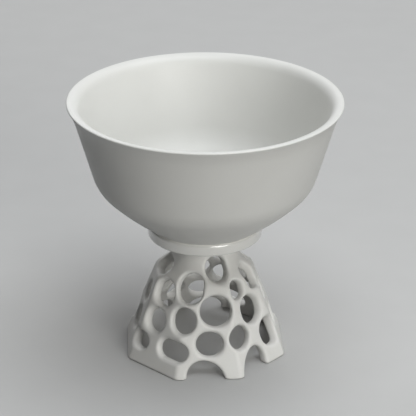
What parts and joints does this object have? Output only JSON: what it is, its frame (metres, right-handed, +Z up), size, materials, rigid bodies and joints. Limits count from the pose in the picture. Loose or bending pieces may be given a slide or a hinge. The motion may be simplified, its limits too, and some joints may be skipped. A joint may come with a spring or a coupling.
{
  "type": "stem cup",
  "caption": "Porcelain stem cup: a flared bowl with a foot ring, luted to a hollow eight-sided stem that is pierced with a net of round holes.",
  "frame": {"origin": "centre of the stem's footprint, on the table", "axes": "+Z up along the axis of the bowl, so the feet's table face points along -Z; the front flat side of the stem faces -Y"},
  "size_m": [0.0876, 0.0876, 0.087],
  "materials": {
    "bowl_porcelain": "satin white glaze",
    "ring_porcelain": "glossy white glaze",
    "stem_porcelain": "satin white porcelain",
    "luting_slip": "fired slip, matte"
  },
  "bodies": {
    "root": {"bowl": "bowl_porcelain", "foot_ring": "ring_porcelain", "ring_luting": "luting_slip", "stem": "stem_porcelain", "stem_luting": "luting_slip"}
  },
  "joints": []
}
